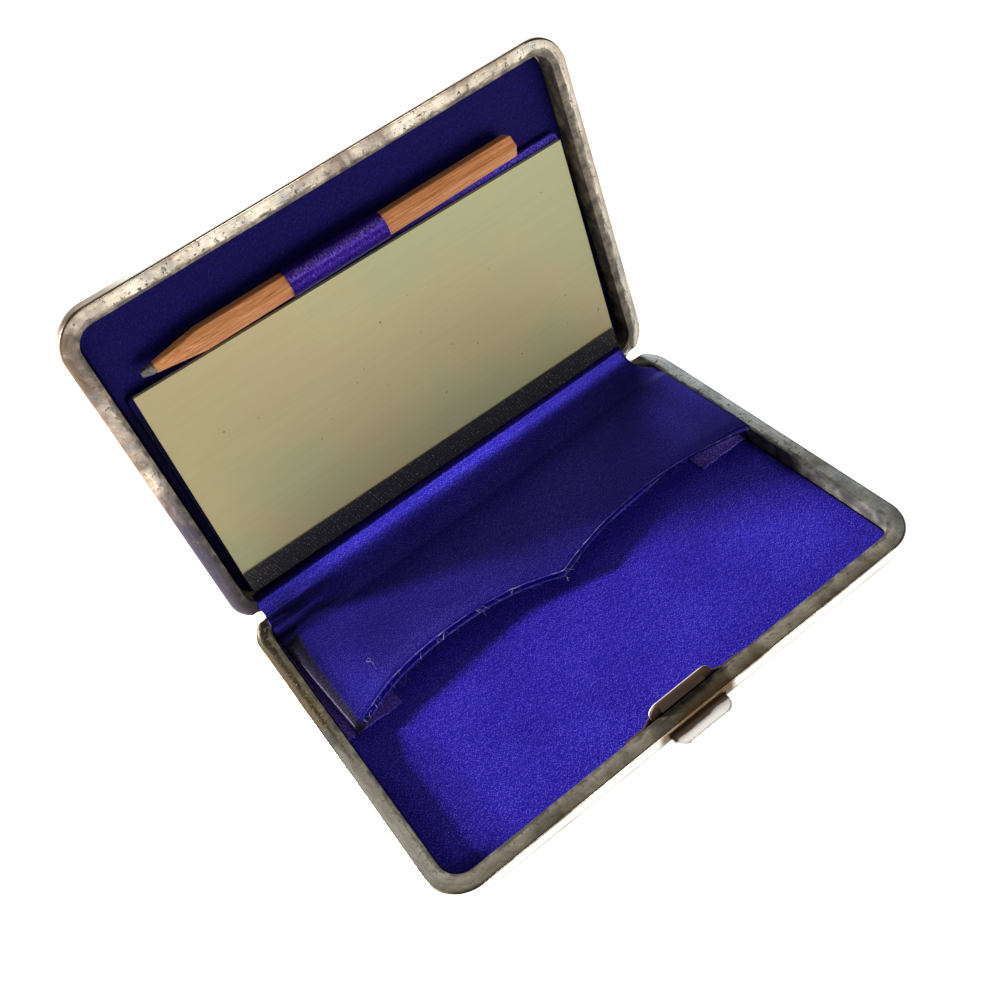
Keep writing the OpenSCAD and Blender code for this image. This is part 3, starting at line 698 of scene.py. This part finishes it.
for d, h in section:
    settle = smooth(d, 1, 8)
    crimp = 0.36 * pinch * math.cos((d - 3.6) / 3.6 * 2 * math.pi) * smooth(d, 0.4, 2) * (1 - smooth(d, 5, 8))
    inset = flap_shift * smooth(d, 0, 6) - flare * smooth(d, 1, 5) - shy * (1 - smooth(d, 3, 7))
    gutter.append(on_base(x + inset, d, axis_z + h + x * lean * settle + crimp - hang * settle))
print("gutter of", len(gutter), "rows")

# %% [markdown]
# On the flap the silk is padded, rolled down to the front edge and curled up at the sides. It is
# puffed at the left front, where the glue has let go. At the edge it turns in under the card.

# %% Silk over the flap
silk_t, fold_r, fold_middle, silk_under = 0.16, 0.34, 0.35, 0.09
silk_over = flap_t + 0.29


def over(x, forward):
    """Height of the silk over the flat card's underside."""
    return silk_over + warp(x, forward) + 0.4 * smooth(-x, 12, 38) * smooth(forward, 4, 16)


def flap_height(x, forward, front):
    pad = 0.2 * smooth(front - forward, 0, 2.4) * smooth(forward, 2, 7)
    curl = 0.9 * smooth(-x, 42.4, 45.2) * (1 - 0.95 * forward / flap_len) * smooth(forward, 0.5, 4)
    curl = curl + 0.4 * smooth(x, 38, 45.5) * smooth(forward, 0.5, 4)
    wave = smooth(forward, 5, 10) * 0.05 * ripple(x + 0 * forward, forward, 20, 5)
    return over(x, forward) + pad + curl + np.maximum(wave, -0.08) - hang


front = flap_front(np.clip(x, -flap_w / 2, flap_w / 2)) + 0.12
top_from = 6.0
for forward in (5.0, top_from):
    gutter.append(on_flap(x - flare * (1 - forward / flap_len), forward, flap_height(x, forward, front)))
gutter = through(gutter, 5)
forward = top_from + np.linspace(0, 1, 34)[1:, None] ** 0.8 * (front - top_from)
flap_top = on_flap(x - flare * (1 - forward / flap_len), forward, flap_height(x, forward, front))
fold_z = warp(x, front) - hang + fold_middle
turn_in = []
for a in np.radians([25, 50, 75, 100, 125, 150, 172]):
    top = over(x, front) - warp(x, front) if a < 1.6 else silk_over
    turn_in.append(on_flap(x, front + fold_r * math.sin(a), fold_z + (top - fold_middle) * math.cos(a)))
under = [on_flap(x, front - back, warp(x, front - back) - silk_under - hang) for back in (0.5, 1.5, 3.0)]
grid = np.concatenate([gutter, flap_top, turn_in, under])
pocket_silk = grid_piece("pocket_silk", grid, silk_pocket)
thicken(pocket_silk, silk_t)
length, silk_w = path_lengths(grid), flap_w + hang.max()
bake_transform(pocket_silk)
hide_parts("hinge_silk", "pocket_flap_silk")
print("pocket silk is", round(silk_w, 1), "mm wide and up to", round(length.max(), 1), "mm long")

# %% [markdown]
# ## The flap's facing
# The underside of the flap has its own silk, folded in along the same edge. The two folds lie a
# little apart at the left, which gives the pocket a double edge line with a dark slit between.

# %% Facing
facing_back, facing_t = 1.5, 0.2


def facing_front(x):
    return flap_front(x) + 0.42 - 1.4 * smooth(x, 20, 34)


x = x[len(side_x) :]
forward = facing_back + np.linspace(0, 1, 24)[:, None] * (facing_front(x) - facing_back)
sag = 0.3 + 0.42 * smooth(forward, 8, 28)
grid = on_flap(x, forward, warp(x, forward) - sag)
facing = grid_piece("pocket_facing", grid, silk_pocket)
thicken(facing, facing_t)
stand_in(facing, "base", "silk_dark")
length = path_lengths(grid)
print("facing under the flap, up to", round(length.max(), 1), "mm deep")

# %% [markdown]
# ## Side folds of the pocket
# At each side a strip of silk closes the pocket. It is glued to the lining, folded inwards and
# glued under the flap, so the pocket can open like a bellows. Its cut front end has frayed.

# %% Side folds
fold_start, fold_t = 5.6, 0.1


def side_fold(name, side, node, end, tuck, outside):
    d = np.concatenate([np.linspace(fold_start, end - 4, 34), np.linspace(end - 4, end, 16)[1:]])
    edge = side * (flap_w / 2 - 0.35)
    roof = on_flap(edge, d - flap_back, -0.4)
    low = lining_z + 0.16
    torn = 1 - 0.9 * smooth(d, end - 4.5, end + 0.3)
    rows = []
    tucked = ((0.0, 1.0), (0.22, 0.8), (0.55, 0.45), (0.88, 0.2), (1.0, 0.1), (0.9, 0.04), (0.45, 0.02))
    for out, share in tucked:
        lift = (roof[:, 2] - low) * share * torn
        rows.append(np.stack([roof[:, 0] - side * tuck * out, roof[:, 1], low + lift], -1))
    for out, lift in ((0.02, 0.02), (0.5, 0.04), (0.88, 0.2), (1.0, 0.9)):
        rows.append(np.stack([roof[:, 0] + side * outside * out, roof[:, 1], low + lift + 0 * d], -1))
    grid = through(rows, 6)
    steps = np.arange(len(grid))[:, None]
    fray = smooth(d, end - 1.2, end) * ripple(steps * 0.3, 0 * steps, 0.9, 6 + side)
    grid[:, :, 1] -= 0.5 * fray
    grid[:, :, 2] += 0.25 * np.abs(fray) * smooth(d, end - 1.5, end)
    fold = grid_piece(name, grid if side > 0 else grid[:, ::-1], silk_fold_painted_lit)
    thicken(fold, fold_t)
    stand_in(fold, "base", "silk_dark", node)
    length, reach = end - fold_start, path_lengths(grid).mean()
    print(name, "is", round(length, 1), "mm long and", round(reach, 1), "mm round its fold")


side_fold("side_fold_left", -1, "pocket_gusset_left", 33.4, 8.5, 2.55)
side_fold("side_fold_right", 1, "pocket_gusset_right", 32.2, 10.6, 0.45)

# %% [markdown]
# ## Loose threads
# Cut silk frays. Fine ends lie along both folds of the pocket's edge and stick out of it, and one
# curl of lint lies on the flap. The pale threads along the folds are also a painted highlight
# along both edges. A thread is a thin five-sided tube along a wandering path.

# %% Tubes along paths
def fibres(name, paths, thickness, material, sides=5):
    points, faces = [], []
    for path in paths:
        along = np.gradient(path, axis=0)
        along /= np.linalg.norm(along, axis=1, keepdims=True)
        side = np.cross(along, (0.3, 0.2, 1.0))
        side /= np.linalg.norm(side, axis=1, keepdims=True)
        up = np.cross(side, along)
        first = len(points)
        turns = np.arange(sides) * 2 * math.pi / sides
        for place, a, b in zip(path, side, up):
            points += [place + thickness / 2 * (math.cos(w) * a + math.sin(w) * b) for w in turns]
        for i in range(first, len(points) - sides):
            after = i + 1 if (i - first) % sides < sides - 1 else i + 1 - sides
            faces.append((i, after, after + sides, i + sides))
    mesh = bpy.data.meshes.new(name)
    mesh.from_pydata((np.array(points) * MM).tolist(), [], faces)
    return new_piece(name, mesh, material)


lint_and_edge_light, tree, shader = new_finish("lint_and_edge_light")
mix = add(tree, "TexNoise", {"Vector": add(tree, "TexCoord", out="Object"), "Scale": per(1.5), "Detail": 2.0})
tone = add(tree, "ValToRGB", {"Fac": mix}, stops=[(0.4, "#4f47a8"), (0.55, "#7d77b4"), (0.65, "#b4b0cc")])
dress(tree, shader, {"Base Color": tone, "Roughness": 0.8}, mix, 0.02)
print("finish for loose threads")

# %% Threads
pick = np.random.default_rng(4)
thread_t, flap_end = 0.07, 30


def wander(count, size):
    return np.cumsum(pick.normal(0, size, count)) * np.linspace(0, 1, count)


paths = []
# Threads that lie along the two folds, in turn, pale as a painted highlight of both edges.
for start in pick.uniform(-45, 43, 86):
    x = np.linspace(start, min(start + pick.uniform(1.5, 7), 45.2), 14)
    stray, drift = 0.5 * np.abs(wander(14, 0.05)), wander(14, 0.02)
    if len(paths) % 2:
        paths.append(on_flap(x, flap_front(x) + 0.42 + stray, over(x, flap_end) - 0.13 + drift))
    else:
        paths.append(on_flap(x, facing_front(x) + 0.05 + stray, warp(x, flap_end) + drift - 0.74))
# Ends that stick out, most of them at the left.
for start in pick.uniform(0, 1, 60) ** 2 * 88 - 44:
    steps = np.linspace(0, pick.uniform(0.5, 1.7), 10)
    way, sink = pick.uniform(-1.2, 1.2), wander(10, 0.06) - 0.25 * steps**2
    edge, up = pick.choice([(flap_front(start) + 0.4, over(start, flap_end) - 0.29),
                            (facing_front(start), warp(start, flap_end) - 0.75)])
    sideways = start + steps * math.sin(way) + wander(10, 0.05)
    paths.append(on_flap(sideways, edge + steps * math.cos(way), up + sink))
# The curl of lint: a ring and its tail.
ring, tail = np.linspace(0, 2 * math.pi, 16), np.linspace(0, 1, 14)
lint_x, lint_at = -36.9, 19.5
paths.append(on_flap(lint_x + 0.38 * np.sin(ring), lint_at + 0.4 * np.cos(ring), over(-37, lint_at) + 0.29))
paths.append(on_flap(lint_x + 0.5 * tail + 0.2 * np.sin(tail * 9), lint_at + 0.4 + 4.0 * tail,
                     over(-37, 22) + 0.28 + 0.06 * np.sin(tail * 7)))
threads = fibres("silk_threads", paths, thread_t, lint_and_edge_light)
stand_in(threads, "base", "silk_dark")
print(len(paths), "loose threads")

# %% [markdown]
# ## Writing leaf
# Ivorine is a casein or cellulose sheet made to look like ivory. It was planed and polished, so it
# has faint long streaks, and a century of pencil and rubbing has left it greenish and speckled.

# %% Ivorine
ivorine, tree, shader = new_finish("ivorine_sheet")
place = shut_place(tree)
slant = add(tree, "Mapping", {"Vector": place, "Rotation": (0, 0, math.radians(7)),
                              "Scale": (per(26), per(0.7), per(30))})
streaks = add(tree, "TexNoise", {"Vector": slant, "Scale": 1.0, "Detail": 4.0, "Roughness": 0.6})
patch = add(tree, "TexNoise", {"Vector": place, "Scale": per(30), "Detail": 3.0})
tone = add(tree, "ValToRGB", {"Fac": patch}, stops=[(0.36, "#beb184"), (0.5, "#beb484"), (0.62, "#b3b586")])
thumb = add(tree, "VectorMath", {0: place, 1: (-0.044, -0.014, 0)}, operation="DISTANCE")
tone = lay_colour(tree, tone, "#8f8a5c", (thumb, 5, 35, 0.35, 0), unit=MM)
lines = add(tree, "ValToRGB", {"Fac": streaks}, stops=[(0.36, "#b9ae88"), (0.62, "#ffffff")])
tone = lay_colour(tree, tone, lines, 0.08, blend_type="MULTIPLY")
speck = add(tree, "TexNoise", {"Vector": place, "Scale": per(1.6), "Detail": 2.0})
tone = lay_colour(tree, tone, "#746a4c", (speck, 0.735, 0.77))
dress(tree, shader, {"Base Color": tone, "Roughness": 0.42, "IOR": 1.5}, streaks, 0.004, 0.5)
coat(ivorine, "tablet_leaf")
print("ivorine on the leaf")

# %% [markdown]
# ## Silk over the board behind the leaf
# The leaf lies on a thin board covered with the lining's silk. Its rolled edge shows as a violet
# line above the leaf.

# %% Covered board
backing_foot, backing_head, backing_w = 4.4, 52.4, 90.0
backing_top, backing_t, turned_in = lining_z + 0.05 + 1.0 + 0.25, 0.2, 2.4
backing_d = backing_head - backing_foot
x, y, z, inset = covered_card(backing_w + 0.5, backing_d + 0.5, 1.25, 0.32, fall=0.85, step=3)
grid = on_lid(x, (backing_foot + backing_head) / 2 - y, z + backing_top)
backing = grid_piece("backing_silk", grid[::-1, ::-1], silk_backing)
thicken(backing, backing_t)
stand_in(backing, "lid", "silk_dark", "tablet_backing_silk")
print("silk over a board of", backing_w, "by", backing_d, "mm")

# %% [markdown]
# ## Bookcloth binding
# Black cotton cloth, plain woven and sized, glued over the foot of the leaf. Two crossed rows of
# threads catch the light as grey dots. Real ones are about 0.4 mm apart. Here they are 0.6 mm
# apart, so that they show in the render. A wave texture repeats every pi / 10 at scale 1.

# %% Bookcloth
thread_gap = 0.6
bookcloth, tree, shader = new_finish("black_bookcloth")
cloth = add(tree, "TexCoord", out="UV")
weave = []
for turn_by in (20, 110):
    row = add(tree, "Mapping", {"Vector": cloth, "Rotation": (0, 0, math.radians(turn_by))})
    weave.append(add(tree, "TexWave", {"Vector": row, "Scale": per(thread_gap) * math.pi / 10,
                                       "Distortion": 4.5, "Detail": 2.0, "Detail Scale": 2.0},
                     out="Fac", bands_direction="X"))
knots = share_of(tree, *weave)
worn = add(tree, "TexNoise", {"Vector": cloth, "Scale": per(0.5), "Detail": 4.0, "Roughness": 0.7})
worn = share_of(tree, knots, (worn, 0.44, 0.66))
tone = add(tree, "ValToRGB", {"Fac": worn}, stops=[(0.05, "#141316"), (0.28, "#29282c"), (0.6, "#848387")])
dress(tree, shader, {"Base Color": tone, "Roughness": 0.7}, knots, 0.08, 0.8)
print("bookcloth with threads", thread_gap, "mm apart")

# %% Binding
leaf_z, leaf_foot, leaf_w, binding_t = backing_top + 0.05, 9.0, 89.0, 0.12
leaf_mid = leaf_foot + (42.8 - 5.3) / 2
skew = math.radians(1.06)


def on_leaf(x, u, z):
    x, u, z = np.broadcast_arrays(x, u, np.asarray(z, float))
    v = u - leaf_mid
    up = leaf_mid - x * math.sin(skew) + v * math.cos(skew)
    return on_lid(x * math.cos(skew) + v * math.sin(skew), up, leaf_z + z)


x = np.linspace(-leaf_w / 2, leaf_w / 2, 90)
section = [(9.0, 1.02), (8.96, 1.09), (8.2, 1.1), (7.3, 1.1), (6.7, 1.06), (5.4, 1.05), (4.3, 1.06),
           (3.85, 0.98), (3.7, 0.75), (3.7, 0.35), (3.85, 0.16), (4.4, 0.13), (6.6, 0.13), (6.85, 0.3),
           (6.85, 0.75), (6.5, 0.88), (5.9, 0.88)]
fuzz = 0.02 * ripple(x, 0, 7, 2)
grid = through([on_leaf(x, u + (fuzz if u > 8.9 else 0), h) for u, h in section], 4)
binding = grid_piece("bookcloth_binding", grid, bookcloth)
thicken(binding, binding_t)
stand_in(binding, "lid", "bookcloth", "tablet_binding")
reach = path_lengths(grid).mean()
print("binding strip is", round(reach, 1), "mm wide")

# %% [markdown]
# ## The pencil's loop
# A strip of silk ribbon is glued to the lining at both edges and arches over the pencil. It is
# stretched tight, so only faint creases run round the arch.

# %% Loop
pencil_u, pencil_r = 55.8, 2.2
pencil_z = lining_z + 0.05 + 2.6
loop_x, loop_len, loop_r, loop_t = -2.9, 19.7, pencil_r + 0.34, 0.18
x = np.linspace(loop_x - loop_len / 2, loop_x + loop_len / 2, 120)
arch = loop_r + 0.008 * ripple(x, 0, 1.6, 12)
rows = [on_lid(x, pencil_u + 1.95, lining_z + 0.25)]
for a in np.radians(np.linspace(-128, 128, 33)):
    rows.append(on_lid(x + 0.12 * ripple(a * 3 + 0 * x, x, 30, 2), pencil_u - arch * math.sin(a),
                       pencil_z + arch * math.cos(a)))
rows.append(on_lid(x, pencil_u - 1.95, lining_z + 0.25))
grid = np.array(rows)
loop = grid_piece("pencil_ribbon", grid, silk_loop)
thicken(loop, loop_t)
stand_in(loop, "lid", "silk_bright", "pencil_loop")
reach = path_lengths(grid).mean()
print("ribbon is", round(reach, 1), "mm round the pencil")

# %% [markdown]
# ## Pencil
# A slim cedar pencil without paint. The barrel was planed to six faces and is worn round. The tip
# was whittled with a knife, so it is a bundle of flat cuts. Both are made the same way: the
# smallest of several flat limits gives the radius at each angle.

# %% Cedar and graphite
cedar, tree, shader = new_finish("bare_cedar")
place = add(tree, "TexCoord", out="Object")
along = add(tree, "Mapping", {"Vector": place, "Scale": (per(9), per(0.4), per(0.4))})
grain = add(tree, "TexNoise", {"Vector": along, "Scale": 1.0, "Detail": 5.0, "Roughness": 0.68,
                               "Distortion": 0.9})
tone = add(tree, "ValToRGB", {"Fac": grain}, stops=[(0.32, "#935a30"), (0.44, "#b07040"), (0.56, "#c48858"),
                                                    (0.7, "#d6a274")])
pore = add(tree, "Mapping", {"Vector": place, "Scale": (per(1.6), per(0.16), per(0.16))})
pore = add(tree, "TexNoise", {"Vector": pore, "Scale": 1.0, "Detail": 2.0})
tone = lay_colour(tree, tone, "#7a4826", (pore, 0.62, 0.72, 0, 0.55))
# Painted light: the side that faces up is drawn paler.
upward = add(tree, "SeparateXYZ", {"Vector": add(tree, "NewGeometry", out="Normal")}, out="Z")
tone = lay_colour(tree, tone, (1.42, 1.32, 1.18, 1.0), (upward, -0.1, 0.6), blend_type="MULTIPLY")
dress(tree, shader, {"Base Color": tone, "Roughness": 0.62}, grain, 0.04, 0.7)

graphite, tree, shader = new_finish("worn_graphite")
grain = add(tree, "TexNoise", {"Vector": add(tree, "TexCoord", out="Object"), "Scale": per(0.4),
                               "Detail": 3.0})
tone = add(tree, "ValToRGB", {"Fac": grain}, stops=[(0.35, "#4a4948"), (0.65, "#807f7b")])
dress(tree, shader, {"Base Color": tone, "Roughness": 0.42, "Metallic": 0.35}, grain, 0.03)
print("cedar and graphite")

# %% Whittled pencil
def cut_to(angles, along, flats):
    """Radius left by flat cuts, each with an angle, a distance from the middle and a slope."""
    reach = [(at + rise * along) / np.maximum(np.cos(angles - turn_to), 0.05) for turn_to, at, rise in flats]
    return -np.log(sum(np.exp(-16 * np.array(r)) for r in reach)) / 16


def on_pencil(s, radius, a):
    return on_lid(tip + s, pencil_u + radius * np.sin(a), pencil_z + radius * np.cos(a))


right_end, wood_len, taper, worn_end, blunt, centre_r = 35.0, 73.5, 9.5, 2.5, 0.7, 0.02
tip = right_end - wood_len
along = np.concatenate([np.linspace(0, taper + 3, 45), np.linspace(taper + 3, wood_len - worn_end, 40)[1:],
                        wood_len - worn_end + worn_end * np.sin(np.linspace(0, math.pi / 2, 14)[1:])])
angles = np.linspace(0, 2 * math.pi, 96, endpoint=False)
a, s = np.meshgrid(angles, along)
barrel = cut_to(a, s, [(math.radians(60 * k + 36), 2.03, 0) for k in range(6)])
knife = np.random.default_rng(21)
cuts = [(math.radians(40 * k + knife.uniform(-9, 9)), 1.05 + knife.uniform(-0.05, 0.06),
         0.135 + knife.uniform(-0.015, 0.02)) for k in range(9)]
radius = np.minimum(barrel, cut_to(a, s, cuts))
end_gap = np.clip(blunt - (wood_len - s), 0, blunt)
radius = radius - blunt + np.sqrt(blunt**2 - end_gap**2)
radius[-1] = centre_r
wood = grid_piece("pencil_barrel", on_pencil(s, radius, a), cedar, closed=True)
stand_in(wood, "pencil", "cedar", "pencil_wood")
lead_s = np.concatenate([[-2.4, -2.4], np.linspace(-2.36, 0, 13), np.linspace(0, 3, 5)[1:]])
a, s = np.meshgrid(angles[::2], lead_s)
radius = np.minimum(cut_to(a, s, [(math.radians(72 * k + 20), 1.1, 0.13 + 0.03 * k) for k in range(5)]), 1.0)
radius[0], radius[1] = centre_r, 0.93 * radius[2]
lead = grid_piece("pencil_point", on_pencil(s, radius, a), graphite, closed=True)
stand_in(lead, "pencil", "graphite", "pencil_lead")
print("pencil from x", tip, "to", right_end, "mm")

# %% [markdown]
# ## The catch's spring
# A thin leaf bears on the rim's skirt at both ends, and its flat middle carries the tongue. It
# bends when the thumb presses. Here it is drawn in two halves.

# %% Spring
catch_x, skirt_y, spring_rise, spring_top, spring_h, spring_t = -1.0, -32.9, 1.05, 4.95, 2.0, 0.33
s = np.linspace(0, 12, 40)
bow = skirt_y + 0.02 + (spring_rise + 0.01) * (1 - smooth(s, 5.7, 8.6)) + spring_t
for name, side in (("spring_left", -1), ("spring_right", 1)):
    rows = []
    for back, low in ((0.0, 0.05), (-0.28, 0.05), (-spring_t, 0.1), (-spring_t, spring_h - 0.1),
                      (-0.28, spring_h - 0.05), (0.0, spring_h - 0.05)):
        level = np.full_like(s, spring_top - spring_h + low)
        rows.append(np.stack([catch_x + side * s, bow + back, level], -1))
    grid = np.array(rows).transpose(1, 0, 2)
    half = grid_piece(name, grid if side > 0 else grid[:, ::-1], silver_tongue, closed=True)
    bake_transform(half)
    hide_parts("catch_spring")
print("spring in two halves")
